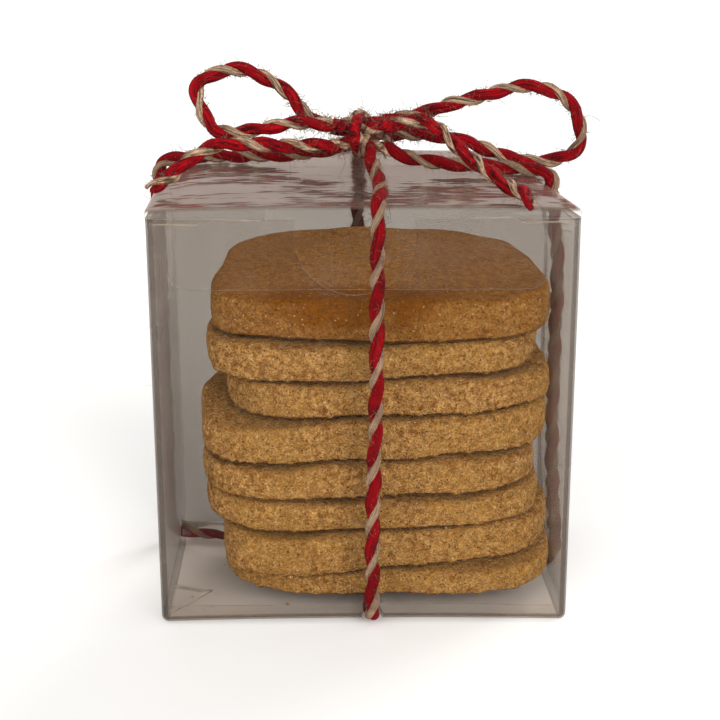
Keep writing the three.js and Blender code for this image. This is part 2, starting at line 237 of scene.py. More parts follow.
def smoothRoute(points, step):
    points = [Vector(point) for point in points]
    points = [2 * points[0] - points[1]] + points + [2 * points[-1] - points[-2]]
    fine = []
    for before, start, end, after in zip(points, points[1:], points[2:], points[3:]):
        d0, d1, d2 = [(b - a).length ** 0.5 for a, b in ((before, start), (start, end), (end, after))]
        leave = d1 * ((start - before) / d0 - (end - before) / (d0 + d1) + (end - start) / d1)
        arrive = d1 * ((end - start) / d1 - (after - start) / (d1 + d2) + (after - end) / d2)
        for i in range(finePerSpan):
            t = i / finePerSpan
            fine.append(start * (2 * t**3 - 3 * t**2 + 1) + leave * (t**3 - 2 * t**2 + t)
                        + end * (3 * t**2 - 2 * t**3) + arrive * (t**3 - t**2))
    fine.append(points[-2])
    along = [0]
    for a, b in zip(fine, fine[1:]):
        along.append(along[-1] + (b - a).length)
    count = max(2, round(along[-1] / step))
    line, k = [], 0
    for i in range(count + 1):
        want = along[-1] * i / count
        while k < len(along) - 2 and along[k + 1] < want:
            k += 1
        line.append(fine[k].lerp(fine[k + 1], (want - along[k]) / (along[k + 1] - along[k])))
    return line


# Two directions across the line at each point, carried along it without spinning.
def crossFrames(line):
    frames = []
    across = Vector((0.3, 0.2, 1))
    for i in range(len(line)):
        ahead = (line[min(i + 1, len(line) - 1)] - line[max(i - 1, 0)]).normalized()
        across = (across - ahead * across.dot(ahead)).normalized()
        frames.append((across.copy(), ahead.cross(across)))
    return frames


def lengthOf(line):
    return sum((b - a).length for a, b in zip(line, line[1:]))


# The pack's weight presses the twine flat under the floor.
def pressShare(x, y):
    inX = 1 - smoothStep(abs(x), *twine["pressEndsX"])
    inY = 1 - smoothStep(abs(y), *twine["pressEndsY"])
    return 1 - (1 - twine["pressed"]) * inX * inY


def newTwineCurve(name, materials, sides):
    curve = bpy.data.curves.new(name, "CURVE")
    curve.dimensions = "3D"
    curve.bevel_depth = 1
    curve.bevel_resolution = sides
    curve.use_fill_caps = True
    for material in materials:
        curve.materials.append(material)
    return curve


def addStrand(curve, points, radii, materialIndex):
    strand = curve.splines.new("POLY")
    strand.points.add(len(points) - 1)
    for spot, point, radius in zip(strand.points, points, radii):
        spot.co = (*point, 1)
        spot.radius = radius
    strand.material_index = materialIndex


def layPlies(curve, line, startTurn, fray):
    frames = crossFrames(line)
    length = lengthOf(line)
    for index, ply in enumerate(twine["plies"]):
        points, radii = [], []
        for i, (point, (side, up)) in enumerate(zip(line, frames)):
            s = length * i / (len(line) - 1)
            turn = 2 * math.pi * s / twine["plyPitch"] + ply["turn"] + startTurn
            loose = smoothStep(s, length - twine["frayLength"], length) if fray else 0
            bulge = noise.noise(Vector((s / twine["unevenEvery"], index * 7.1 + startTurn, 1.7)))
            off = ply["off"] * (1 + twine["frayOpens"] * loose)
            points.append(point + (side * math.cos(turn) + up * math.sin(turn)) * off)
            radii.append(ply["radius"] * (1 + ply["uneven"] * bulge) * (1 - twine["frayThins"] * loose))
        addStrand(curve, points, radii, index)


# Turns a curve in millimetres into a bmesh whose UVs are millimetres along and a share of the way round.
def curveToBmesh(curve, length):
    holder = addObject(curve.name, curve)
    mesh = evaluatedMesh(holder)
    bpy.data.objects.remove(holder)
    bpy.data.curves.remove(curve)
    bm = bmesh.new()
    bm.from_mesh(mesh)
    bpy.data.meshes.remove(mesh)
    layer = bm.loops.layers.uv.active
    for face in bm.faces:
        for loop in face.loops:
            loop[layer].uv.y *= length
    return bm


# Jute for craft twine: bast fibre spun into two plies and twisted, one ply dyed. It is dull and hairy,
# with fine lighter and darker strands along each ply and a faint silky gleam where the light rakes it.
def makePlyMaterial(name, look):
    material, tree = newMaterial(name)
    uv = addNode(tree, "ShaderNodeTexCoord").outputs["UV"]
    # About 14 yarns show round a ply, each some 0.35 mm wide and followed for about 4 mm.
    strands = addNode(tree, "ShaderNodeMapping", {"Scale": (14, 0.25, 1), "Rotation": (0, 0, 0.02)},
                      {"Vector": uv})
    streak = addNode(tree, "ShaderNodeTexNoise", {"Scale": 1.0, "Detail": 4.0, "Roughness": 0.6},
                     {"Vector": strands})
    place = millimetres(tree)
    patch = addNode(tree, "ShaderNodeTexNoise", {"Scale": 0.35, "Detail": 2.0}, {"Vector": place})
    fluff = addNode(tree, "ShaderNodeTexNoise", {"Scale": 3.2, "Detail": 3.0}, {"Vector": place})
    share = addNode(tree, "ShaderNodeMapRange", {"From Min": 0.38, "From Max": 0.62},
                    {"Value": streak.outputs[0]})
    colour = addNode(tree, "ShaderNodeMixRGB", {"Color1": linearColour(look["dark"]),
                                               "Color2": linearColour(look["light"])}, {"Fac": share})
    worn = addNode(tree, "ShaderNodeMapRange", {"From Min": 0.45, "From Max": 0.75, "To Max": 0.6},
                   {"Value": patch.outputs[0]})
    shaded = addNode(tree, "ShaderNodeMixRGB", {"Color2": linearColour(look["patch"])},
                     {"Fac": worn, "Color1": colour})
    height = addNode(tree, "ShaderNodeMath", {"operation": "MULTIPLY_ADD", 1: 0.6},
                     {0: streak.outputs[0], 2: fluff.outputs[0]})
    bump = addNode(tree, "ShaderNodeBump", {"Strength": 1.0, "Distance": 0.0006}, {"Height": height})
    shader = addNode(tree, "ShaderNodeBsdfPrincipled", {
        "Roughness": look["roughness"], "Specular IOR Level": 0.1,
    }, {"Base Color": shaded, "Normal": bump})
    addNode(tree, "ShaderNodeOutputMaterial", links={"Surface": shader})
    return material


# Single jute fibres that have worked loose: thin, matte and a little darker than the ply they come from.
def makeFibreMaterial(name, dark, light):
    material, tree = newMaterial(name)
    place = millimetres(tree)
    patch = addNode(tree, "ShaderNodeTexNoise", {"Scale": 0.8, "Detail": 1.0}, {"Vector": place})
    colour = addNode(tree, "ShaderNodeMixRGB", {"Color1": linearColour(dark), "Color2": linearColour(light)},
                     {"Fac": patch.outputs[0]})
    shader = addNode(tree, "ShaderNodeBsdfPrincipled", {"Roughness": 0.6}, {"Base Color": colour})
    addNode(tree, "ShaderNodeOutputMaterial", links={"Surface": shader})
    return material


redPly = makePlyMaterial("dyed jute ply", {"dark": "#3e0004", "light": "#a8000e", "patch": "#340004",
                                           "roughness": 0.7})
naturalPly = makePlyMaterial("natural jute ply", {"dark": "#3c2a1e", "light": "#d4b090", "patch": "#5c4432",
                                                  "roughness": 0.75})
naturalFibre = makeFibreMaterial("loose jute fibre", "#2a2018", "#7c6a4e")
redFibre = makeFibreMaterial("loose dyed fibre", "#300408", "#7c0a14")

allLines = []


def makeTwine(name, routes, node, startTurn=0.0, fray=False, pressed=False):
    curve = newTwineCurve(name, [redPly, naturalPly], 4)
    lines = [smoothRoute(route, twine["step"]) for route in routes]
    for i, line in enumerate(lines):
        layPlies(curve, line, startTurn + i * twine["knotTurn"], fray)
    bm = curveToBmesh(curve, lengthOf(lines[0]))
    if pressed:
        for vert in bm.verts:
            if vert.co.z < twine["pressBelow"]:
                vert.co.z *= pressShare(vert.co.x, vert.co.y)
    allLines.extend(lines)
    return finishPiece(name, bm, [redPly, naturalPly], "twine", node), lines[0]


def makeFreeTwine(name, route, node, startTurn, farEnd):
    piece, line = makeTwine(name, [route], node, startTurn, fray=farEnd == "bare")


makeTwine("wrapFrontBack", [frontBackRoute], "twine_front_back", startTurn=5.6, pressed=True)
makeTwine("wrapLeftRight", [leftRightRoute], "twine_left_right", startTurn=0.4, pressed=True)
makeTwine("knotTurns", knotRoutes, "knot", startTurn=0.9)
makeFreeTwine("bowLoopLeft", loopLeftRoute, "bow_loop_left", 1.2, "object")
makeFreeTwine("bowLoopRight", loopRightRoute, "bow_loop_right", 0.2, "object")
makeFreeTwine("tailLeft", tailLeftRoute, "tail_left", 3.0, "bare")
makeFreeTwine("tailRight", tailRightRoute, "tail_right", 1.9, "bare")
print("twine laid:", round(sum(lengthOf(line) for line in allLines)), "mm")


# Loose fibres that stand off the plies, most of them short, a few long and curled.
fuzz = {
    "perMm": 8.0,
    "knotMore": 2.0,
    "knotLonger": 1.4,
    "knotHalfWidth": 13,
    "knotBottom": 85,
    "floorGap": 4,
    "sink": 0.25,
    "curl": 0.9,
    "joints": 3,
    "radius": 0.042,
    "shortest": 0.4,
    "longest": 1.6,
    "longShare": 0.03,
    "longReach": 5.0,
    "redShare": 0.5,
    "seed": 11,
    "wisps": [
        [(41.2, 6.0, 89.6), (42.4, 5.7, 90.3), (43.6, 5.2, 90.2), (44.9, 4.6, 89.4)],
        [(1.2, -26.9, 20.2), (-0.6, -27.8, 22.0), (-2.6, -28.0, 22.8), (-4.4, -27.6, 22.6)],
        [(2.0, -26.8, 72.6), (-1.2, -27.6, 71.0), (-2.8, -28.0, 73.2), (-3.6, -27.4, 75.6)],
        [(2.8, -26.8, 71.4), (5.2, -27.6, 71.6), (7.6, -27.8, 72.6), (9.8, -27.2, 74.2)],
    ],
}


def makeFuzz():
    draw = random.Random(fuzz["seed"])
    fibres = [naturalFibre, redFibre]
    curve = newTwineCurve("looseFibres", fibres, 0)
    for line in allLines:
        frames = crossFrames(line)
        for _ in range(round(lengthOf(line) * fuzz["perMm"] * fuzz["knotMore"])):
            i = draw.randrange(1, len(line) - 1)
            nearKnot = abs(line[i].x) < fuzz["knotHalfWidth"] and line[i].z > fuzz["knotBottom"]
            if line[i].z < fuzz["floorGap"] or (not nearKnot and draw.random() > 1 / fuzz["knotMore"]):
                continue
            side, up = frames[i]
            ahead = (line[i + 1] - line[i]).normalized() * draw.choice((-1, 1))
            turn = draw.uniform(0, 2 * math.pi)
            out = side * math.cos(turn) + up * math.sin(turn)
            reach = draw.uniform(fuzz["shortest"], fuzz["longest"])
            if draw.random() < fuzz["longShare"]:
                reach = draw.uniform(fuzz["longest"], fuzz["longReach"])
            reach *= fuzz["knotLonger"] if nearKnot else 1
            heading = (out * draw.uniform(0.5, 1) + ahead * draw.uniform(0.4, 1.2)).normalized()
            bend = Vector([draw.uniform(-1, 1) for _ in range(3)]) * fuzz["curl"]
            spot = line[i] + out * (twine["diameter"] / 2 - fuzz["sink"])
            points, radii = [spot], [fuzz["radius"]]
            for k in range(fuzz["joints"]):
                heading = (heading + bend).normalized()
                spot = spot + heading * reach / fuzz["joints"]
                points.append(spot)
                radii.append(fuzz["radius"] * (0.85 - 0.25 * k))
            kind = redFibre if draw.random() < fuzz["redShare"] else naturalFibre
            addStrand(curve, points, radii, fibres.index(kind))
    for wisp in fuzz["wisps"]:
        points = smoothRoute(wisp, 0.3)
        addStrand(curve, points, [fuzz["radius"]] * len(points), fibres.index(naturalFibre))
    bm = curveToBmesh(curve, 1)
    print("fibres added:", len(bm.faces), "faces")
    finishPiece("looseFibres", bm, fibres, "twine")


makeFuzz()


# Clear folded-film box.
box = {
    "width": 76.0,
    "depth": 48.0,
    "wallTop": 77.4,
    "film": 0.32,
    "foldRadius": 1.4,
    "foldSegments": 5,
    "foldSeen": 1.2,
    "notchRadius": 10.7,
    "notchCentre": (-1.6, 74.4),
    "notchSides": 64,
    "wave": 0.3,
    "waveLength": 23,
    "ripple": 0.09,
    "rippleLength": 9,
}
halfWidth = box["width"] / 2
halfDepth = box["depth"] / 2
wrapLeftY = 15.0

# How far the taut twine pulls a side wall in, and how near to it.
pull = {"right": 2.8, "rightLow": 0.4, "rightMoreAtLid": 1.4, "left": 0.8, "leftReach": 9}

# How high the two twines lift the floor film, how far to each side, and the bow of its front and back folds.
floorFilmRise = {
    "twine": 3.35,
    "clear": 0.1,
    "firstX": (1.4, -0.5),
    "firstReach": (6, 2.0),
    "secondSpan": (-34, 32),
    "secondReach": (7, 2.1),
    "crossing": 3.3,
    "crossingX": 0.3,
    "crossingEnds": (4, 14),
    "bow": 0.5,
}


# The taut twine pulls the right wall in, most at the lid, and the left wall a little.
def pinch(x, y, z):
    most = pull["right"] * mix(pull["rightLow"], 1, smoothStep(z, 0, 30))
    most += pull["rightMoreAtLid"] * smoothStep(z, 64, 78)
    least = pull["left"] * smoothStep(z, 40, 78)
    right = clamp(x / halfWidth, 0, 1) ** 3 * (1 - clamp(abs(y) / halfDepth, 0, 1))
    left = clamp(-x / halfWidth, 0, 1) ** 3 * (1 - clamp(abs(y - wrapLeftY) / pull["leftReach"], 0, 1))
    return x + left * least - right * most


def ridge(away, height, reach):
    return height * max(0, 1 - abs(away / reach) ** 2.4)


# The floor film rests on its folds and rides up over the two twines below it.
def floorRise(x, y):
    rise = floorFilmRise
    along = clamp((y + halfDepth) / box["depth"], 0, 1)
    nearFold = smoothStep(abs(y), halfDepth - 6, halfDepth - 1)
    tall = rise["twine"] * pressShare(0, y) + rise["clear"]
    first = ridge(x - mix(*rise["firstX"], along), tall, mix(*rise["firstReach"], nearFold))
    left, right = rise["secondSpan"]
    across = mix(wrapLeftY, 0, clamp((x - left) / (right - left), 0, 1))
    nearSide = smoothStep(abs(x), halfWidth - 7, halfWidth - 1)
    over = rise["crossing"] * (1 - smoothStep(abs(x - rise["crossingX"]), *rise["crossingEnds"]))
    taller = (rise["twine"] + over) * pressShare(x, 0) + rise["clear"]
    second = ridge(y - across, taller, mix(*rise["secondReach"], nearSide))
    bow = rise["bow"] * (1 - (x / halfWidth) ** 2) * nearFold
    return max(first, second, bow)


# Thin clear PET sheet, extruded and creased: nearly colourless itself, it reads as a grey over white. It
# mirrors more at a slant and holds a faint haze of handling marks, centimetres across, and a few dust specks.
def makeFilmMaterial(name, look):
    material, tree = newMaterial(name)
    place = millimetres(tree)
    slant = addNode(tree, "ShaderNodeLayerWeight", {"Blend": 0.5}).outputs["Facing"]
    tintShare = addNode(tree, "ShaderNodeMath", {"operation": "POWER", 1: 3.0}, {0: slant})
    tint = addNode(tree, "ShaderNodeMixRGB", {"Color1": linearColour(look["tint"]),
                                             "Color2": linearColour(look["slantTint"])}, {"Fac": tintShare})
    clear = addNode(tree, "ShaderNodeBsdfTransparent", links={"Color": tint})
    drawn = addNode(tree, "ShaderNodeMapping", {"Scale": (look["stretch"], 1, 1)}, {"Vector": place})
    ripple = addNode(tree, "ShaderNodeTexNoise", {"Scale": 0.1, "Detail": 3.0}, {"Vector": drawn})
    bump = addNode(tree, "ShaderNodeBump", {"Strength": look["ripple"], "Distance": 0.002},
                   {"Height": ripple.outputs[0]})
    gloss = addNode(tree, "ShaderNodeBsdfGlossy", {"Color": linearColour(look["shine"]),
                                                   "Roughness": look["roughness"]}, {"Normal": bump})
    mirrorRise = addNode(tree, "ShaderNodeMath", {"operation": "POWER", 1: 5.0}, {0: slant})
    mirror = addNode(tree, "ShaderNodeMath",
                     {"operation": "MULTIPLY_ADD", 1: look["glance"], 2: look["mirror"]}, {0: mirrorRise})
    sheet = addNode(tree, "ShaderNodeMixShader", links={"Fac": mirror, 1: clear, 2: gloss})
    smear = addNode(tree, "ShaderNodeTexNoise", {"Scale": 0.09, "Detail": 5.0, "Roughness": 0.65},
                    {"Vector": place})
    smearShare = addNode(tree, "ShaderNodeMapRange",
                         {"From Min": 0.45, "From Max": 0.8, "To Min": look["haze"],
                          "To Max": look["haze"] + look["smear"]}, {"Value": smear.outputs[0]})
    # One speck to each 4.5 mm, a third of a millimetre across.
    specks = addNode(tree, "ShaderNodeTexVoronoi", {"Scale": 0.22}, {"Vector": place})
    speckShare = addNode(tree, "ShaderNodeMapRange",
                         {"From Min": 0.03, "From Max": 0.045, "To Min": 0.2, "To Max": 0.0},
                         {"Value": specks.outputs["Distance"]})
    slantHaze = addNode(tree, "ShaderNodeMath", {"operation": "MULTIPLY_ADD", 1: look["slantHaze"]},
                        {0: tintShare, 2: smearShare})
    hazeShare = addNode(tree, "ShaderNodeMath", {"operation": "MAXIMUM"}, {0: slantHaze, 1: speckShare})
    haze = addNode(tree, "ShaderNodeBsdfDiffuse", {"Color": linearColour(look["dustAndSheen"])})
    marked = addNode(tree, "ShaderNodeMixShader", links={"Fac": hazeShare, 1: sheet, 2: haze})
    # Lamps pass nearly unhindered, so that what is inside isn't dimmed twice.
    lampPass = addNode(tree, "ShaderNodeBsdfTransparent", {"Color": (0.96, 0.955, 0.95, 1)})
    lampRay = addNode(tree, "ShaderNodeLightPath").outputs["Is Shadow Ray"]
    surface = addNode(tree, "ShaderNodeMixShader", links={"Fac": lampRay, 1: marked, 2: lampPass})
    addNode(tree, "ShaderNodeOutputMaterial", links={"Surface": surface})
    return material


# The die-cut edge of the same sheet, half clear. Its pale is painted light: light is led to it inside the
# film, so it shows as a pale line. Its dark is painted shade, and noise varies the two along the edge.
def makeEdgeMaterial():
    material, tree = newMaterial("die-cut PET edge")
    place = millimetres(tree)
    edgeLightAndShade = addNode(tree, "ShaderNodeTexNoise", {"Scale": 0.5, "Detail": 3.0}, {"Vector": place})
    colour = addNode(tree, "ShaderNodeMixRGB", {"Color1": linearColour("#6e665e"),
                                               "Color2": linearColour("#d8cebf")}, {"Fac": edgeLightAndShade.outputs[0]})
    pale = addNode(tree, "ShaderNodeBsdfPrincipled", {"Roughness": 0.3}, {"Base Color": colour})
    clear = addNode(tree, "ShaderNodeBsdfTransparent", {"Color": linearColour("#dedad6")})
    surface = addNode(tree, "ShaderNodeMixShader", {"Fac": 0.5}, {1: clear, 2: pale})
    addNode(tree, "ShaderNodeOutputMaterial", links={"Surface": surface})
    return material


# What the sheets share. The front is the clearest. The back's grey tint is painted shade: it stands for the
# greyer room that shows through it in the photo. The sides grey only at a slant, and the flaps hardly tint at
# all.
plainSheet = {
    "shine": "#ffffff", "dustAndSheen": "#cfc4ba", "roughness": 0.12, "ripple": 0.25, "stretch": 1.0,
    "mirror": 0.01, "glance": 0.3, "haze": 0.0, "smear": 0.02, "slantHaze": 0.0,
}
frontFilm = makeFilmMaterial("clear PET front film", {
    **plainSheet, "tint": "#f9f7f5", "slantTint": "#eae6e2", "roughness": 0.08, "ripple": 0.2,
    "mirror": 0.004, "glance": 0.5, "smear": 0.005})
# The floor film is tinted greyer than the front: painted shade for the dimmer floor seen through it under the
# stack.
floorFilm = makeFilmMaterial("clear PET floor film", {
    **plainSheet, "tint": "#efece9", "slantTint": "#cdc7c1", "dustAndSheen": "#ccc6c0", "ripple": 0.3,
    "mirror": 0.006, "glance": 0.4, "slantHaze": 0.12})
sideFilm = makeFilmMaterial("clear PET side film", {
    **plainSheet, "tint": "#e6e3e0", "slantTint": "#a09d9a", "dustAndSheen": "#ccc6c0", "slantHaze": 0.36})
# The back's grey tint is painted shade for the greyer room behind it.
backFilmPaintedShade = makeFilmMaterial("clear PET back film", {
    **plainSheet, "tint": "#c0bcb8", "slantTint": "#aaa6a2", "dustAndSheen": "#cac4be", "slantHaze": 0.34})
# The lid's shine and haze are tinted mauve: painted reflection of the red bow, over a faint real haze of
# handling marks.
lidFilm = makeFilmMaterial("clear PET lid film", {
    **plainSheet, "tint": "#f3f0ed", "slantTint": "#74665e", "shine": "#e8d6cc", "dustAndSheen": "#c4b0a4",
    "roughness": 0.11, "ripple": 0.75, "stretch": 0.4, "mirror": 0.02, "glance": 2.1, "haze": 0.01,
    "smear": 0.04, "slantHaze": 0.18})
flapFilm = makeFilmMaterial("clear PET flap film", {
    **plainSheet, "tint": "#fdfcfb", "slantTint": "#fdfcfb", "ripple": 0.4, "mirror": 0.005, "glance": 0.12})
# The folds' darker tint, darkest at a slant, is painted shade: it stands for the dark line that a rounded
# fold shows.
foldFilmPaintedDark = makeFilmMaterial("folded PET edge", {
    **plainSheet, "tint": "#d8d3ce", "slantTint": "#8e8984", "roughness": 0.1, "ripple": 0.2,
    "mirror": 0.02, "glance": 0.4})
gussetFilm = makeFilmMaterial("creased PET film", {
    **plainSheet, "tint": "#fbfaf9", "slantTint": "#f4f1ee", "dustAndSheen": "#d8d0c8", "roughness": 0.15,
    "ripple": 0.3, "mirror": 0.05, "glance": 0.5, "haze": 0.2, "smear": 0.05})
cutEdge = makeEdgeMaterial()


def cutAcross(bm, axis, places):
    for place in places:
        spot, facing = Vector((0, 0, 0)), Vector((0, 0, 0))
        spot[axis], facing[axis] = place, 1
        everything = bm.verts[:] + bm.edges[:] + bm.faces[:]
        bmesh.ops.bisect_plane(bm, geom=everything, plane_co=spot, plane_no=facing)


def evenly(low, high, count):
    return [low + (high - low) * i / count for i in range(count + 1)]


# Ends a bent sheet: it gets its thickness behind its faces, and the last of its materials on its rim.
def finishFilm(name, bm, films):
    piece = finishPiece(name, bm, films, "clear_film", "clear_box")
    wall = piece.modifiers.new("film", "SOLIDIFY")
    wall.thickness = box["film"] * metresPerMm
    wall.offset = -1
    wall.material_offset_rim = len(films) - 1
    applyModifiers(piece)
    return piece


def waviness(x, y, z):
    spot = Vector((x, y, z))
    ripple = noise.noise(spot / box["rippleLength"] + Vector((7, 0, 0))) * box["ripple"]
    return noise.noise(spot / box["waveLength"]) * box["wave"] + ripple


# Where the walls are cut so that they can bend: closest beside the twines and near the floor.
wallCuts = (
    evenly(-36, -4, 16) + evenly(-3, 4, 14) + evenly(6, 36, 15),
    evenly(-22, -4, 9) + evenly(-2.5, 2.5, 10) + evenly(4, 12, 4) + evenly(12.5, 17.5, 10) + [19, 20.5, 22],
    [2.5, 4, 6, 8, 11, 14] + evenly(18, 76, 18),
)


# The sheet that a place on the walls belongs to. Where two sides meet, the fold gets the darker fold sheet,
# painted shade for its dark outline. The back's own folds are as grey as the back.
def filmAt(spot):
    nearSide = abs(spot.x) > halfWidth - box["foldSeen"]
    nearFloor = spot.z < box["foldSeen"]
    nearFront = -spot.y > halfDepth - box["foldSeen"]
    if spot.y > halfDepth - box["foldSeen"]:
        return backFilmPaintedShade
    if nearSide + nearFloor + nearFront > 1:
        return foldFilmPaintedDark
    if nearSide:
        return sideFilm
    return floorFilm if nearFloor else frontFilm


def makeWalls():
    films = [backFilmPaintedShade, frontFilm, floorFilm, sideFilm, foldFilmPaintedDark, cutEdge]
    bm = bmesh.new()
    bmesh.ops.create_cube(bm, size=1)
    bmesh.ops.scale(bm, vec=(box["width"], box["depth"], box["wallTop"]), verts=bm.verts)
    bmesh.ops.translate(bm, vec=(0, 0, box["wallTop"] / 2), verts=bm.verts)
    bmesh.ops.delete(bm, geom=[face for face in bm.faces if face.normal.z > 0.5], context="FACES")
    folds = [edge for edge in bm.edges if len(edge.link_faces) == 2]
    bmesh.ops.bevel(bm, geom=folds, offset=box["foldRadius"], segments=box["foldSegments"], profile=0.5,
                    affect="EDGES", material=-1)
    for axis, places in enumerate(wallCuts):
        cutAcross(bm, axis, places)
    for face in bm.faces:
        face.material_index = films.index(filmAt(face.calc_center_median()))
    for vert in bm.verts:
        x, y, z = vert.co
        inward = abs(waviness(x, y, z)) * smoothStep(z, 2, 20)
        if abs(y) > halfDepth - 0.01:
            vert.co.y -= math.copysign(inward, y) * smoothStep(halfWidth - abs(x), 1, 9)
        elif abs(x) > halfWidth - 0.01:
            vert.co.x -= math.copysign(inward, x) * smoothStep(halfDepth - abs(y), 1, 9)
        vert.co.z += floorRise(x, y) * (1 - smoothStep(z, 0, 12))
        vert.co.x = pinch(vert.co.x, y, z)
    bmesh.ops.recalc_face_normals(bm, faces=bm.faces)
    cutNotch(finishFilm("filmWalls", bm, films))


# The thumb notch is a round cut in the front wall's top edge.
def cutNotch(piece):
    x, z = box["notchCentre"]
    through = 3.0
    bm = bmesh.new()
    bmesh.ops.create_circle(bm, cap_ends=True, radius=box["notchRadius"], segments=box["notchSides"])
    bmesh.ops.rotate(bm, cent=(0, 0, 0), matrix=Matrix.Rotation(math.pi / 2, 3, "X"), verts=bm.verts)
    grown = bmesh.ops.extrude_face_region(bm, geom=bm.faces[:])["geom"]
    farSide = [part for part in grown if isinstance(part, bmesh.types.BMVert)]
    bmesh.ops.translate(bm, vec=(0, through, 0), verts=farSide)
    bmesh.ops.translate(bm, vec=(x, -halfDepth - through / 2, z), verts=bm.verts)
    bmesh.ops.recalc_face_normals(bm, faces=bm.faces)
    scaleToMetres(bm)
    cutter = addSolid("notchCutter", bm, [cutEdge])
    cut = piece.modifiers.new("notch", "BOOLEAN")
    cut.operation = "DIFFERENCE"
    cut.object = cutter
    cut.material_mode = "TRANSFER"
    applyModifiers(piece)
    bpy.data.objects.remove(cutter)


# Pulls the corner of a square sheet in to a round one: a and b lead out from the arc's centre.
def roundCorner(a, b):
    if a <= 0 or b <= 0:
        return a, b
    share = max(a, b) / math.hypot(a, b)
    return a * share, b * share


def roundSheet(verts, lowX, highX, lowY, highY, radius):
    for vert in verts:
        x, y = vert.co.x, vert.co.y
        sideX = 1 if x > (lowX + highX) / 2 else -1
        sideY = 1 if y > (lowY + highY) / 2 else -1
        centreX = (highX if sideX > 0 else lowX) - sideX * radius
        centreY = (highY if sideY > 0 else lowY) - sideY * radius
        a, b = roundCorner((x - centreX) * sideX, (y - centreY) * sideY)
        vert.co.x, vert.co.y = centreX + a * sideX, centreY + b * sideY


def flatSheet(lowX, highX, lowY, highY, linesX, linesY):
    bm = bmesh.new()
    bmesh.ops.create_grid(bm, x_segments=1, y_segments=1, size=0.5)
    bmesh.ops.scale(bm, vec=(highX - lowX, highY - lowY, 1), verts=bm.verts)
    bmesh.ops.translate(bm, vec=((lowX + highX) / 2, (lowY + highY) / 2, 0), verts=bm.verts)
    cutAcross(bm, 0, linesX)
    cutAcross(bm, 1, linesY)
    return bm


# Where a strip goes that runs up, over and down again: its runs and turns in order, each turn a right angle.
def foldedPlace(along, steps, y, z, heading):
    for kind, size in steps:
        length = size if kind == "run" else size * math.pi / 2
        used = min(along, length)
        if kind == "run":
            y, z = y + used * math.cos(heading), z + used * math.sin(heading)
        else:
            turned = heading + used / size
            centreY, centreZ = y - size * math.sin(heading), z + size * math.cos(heading)
            y, z = centreY + size * math.sin(turned), centreZ - size * math.cos(turned)
            heading = turned
        along -= used
        if along <= 0:
            break
    return y, z


# The lid rises from its hinge at the back, and its front drops as a tuck flap behind the front wall.
lid = {
    "front": 79.0,
    "slope": 1.4,
    "droop": 1.9,
    "hinge": 2.6,
    "foldRadius": 0.9,
    "hingeInset": 0.4,
    "flapInset": 0.5,
    "flapLeft": -34.6,
    "flapRight": 32.6,
    "flapDrop": 14.4,
    "flapRound": 4.0,
    "flapSpring": 0.25,
}


def lidHeight(x, y):
    back = (y + halfDepth) / box["depth"]
    droop = lid["droop"] * min(1, abs(x / halfWidth)) ** 5 * (0.35 + 0.65 * back)
    return lid["front"] + lid["slope"] * back - droop


def makeLid():
    radius, hinge = lid["foldRadius"], lid["hinge"]
    flat = box["depth"] - lid["hingeInset"] - lid["flapInset"] - 2 * radius
    drop = lid["flapDrop"] - radius
    steps = [("run", hinge), ("turn", radius), ("run", flat), ("turn", radius), ("run", drop)]
    turn = radius * math.pi / 2
    lidEnd = hinge + 2 * turn + flat
    length = lidEnd + lid["flapDrop"] - radius
    nearEnds = [-37.6, -37.2, -36.6, 36.6, 37.2, 37.6]
    linesX = evenly(-36, 36, 36) + nearEnds + [lid["flapLeft"], lid["flapRight"]]
    foldLines = evenly(hinge, hinge + turn, 4) + evenly(lidEnd - turn, lidEnd, 4)
    flapLines = [lidEnd + 1.5, lidEnd + 5] + evenly(length - 4.4, length - 0.4, 5)
    linesY = foldLines + evenly(hinge + turn + 1, lidEnd - turn - 1, 24) + flapLines
    bm = flatSheet(-halfWidth, halfWidth, 0, length, linesX, linesY)
    beyond = [face for face in bm.faces if face.calc_center_median().y > lidEnd
              and not lid["flapLeft"] < face.calc_center_median().x < lid["flapRight"]]
    bmesh.ops.delete(bm, geom=beyond, context="FACES")
    flap = [vert for vert in bm.verts if vert.co.y > length - lid["flapRound"] - 0.5]
    roundSheet(flap, lid["flapLeft"], lid["flapRight"], 0, length, lid["flapRound"])
    for vert in bm.verts:
        x, along = vert.co.x, vert.co.y
        y, z = foldedPlace(along, steps, halfDepth - lid["hingeInset"], -hinge - radius, math.pi / 2)
        nearCorner = smoothStep(abs(x), halfWidth - 2, halfWidth) * (along < lidEnd)
        y *= 1 - 0.02 * nearCorner
        z += lidHeight(x, y) if along < lidEnd else mix(lidHeight(x, y), lidHeight(0, y), 0.5)
        if along > lidEnd:
            y += lid["flapSpring"] * smoothStep(along, lidEnd, length)
        else:
            z += waviness(x, y, z) * smoothStep(halfDepth - abs(y), 0.5, 6)
        vert.co = (pinch(x, y, z), y, z)
    bmesh.ops.recalc_face_normals(bm, faces=bm.faces)
    for face in bm.faces:
        face.material_index = 1 if abs(face.normal.y) > 0.7 else 0
    finishFilm("filmLid", bm, [lidFilm, flapFilm, cutEdge])


# A flap folded in from each side wall's top, narrower past its shoulder and sagging a little to its end.
dustFlap = {
    "reach": 20.0,
    "inset": 1.3,
    "round": 2.0,
    "shoulder": 0.2,
    "shoulderEnds": (8.5, 10.5),
    "below": 0.55,
    "sag": 0.035,
    "foldDrop": 0.5,
    "foldReach": 0.8,
    "frontDrop": 0.35,
    "sideGap": 0.45,
}


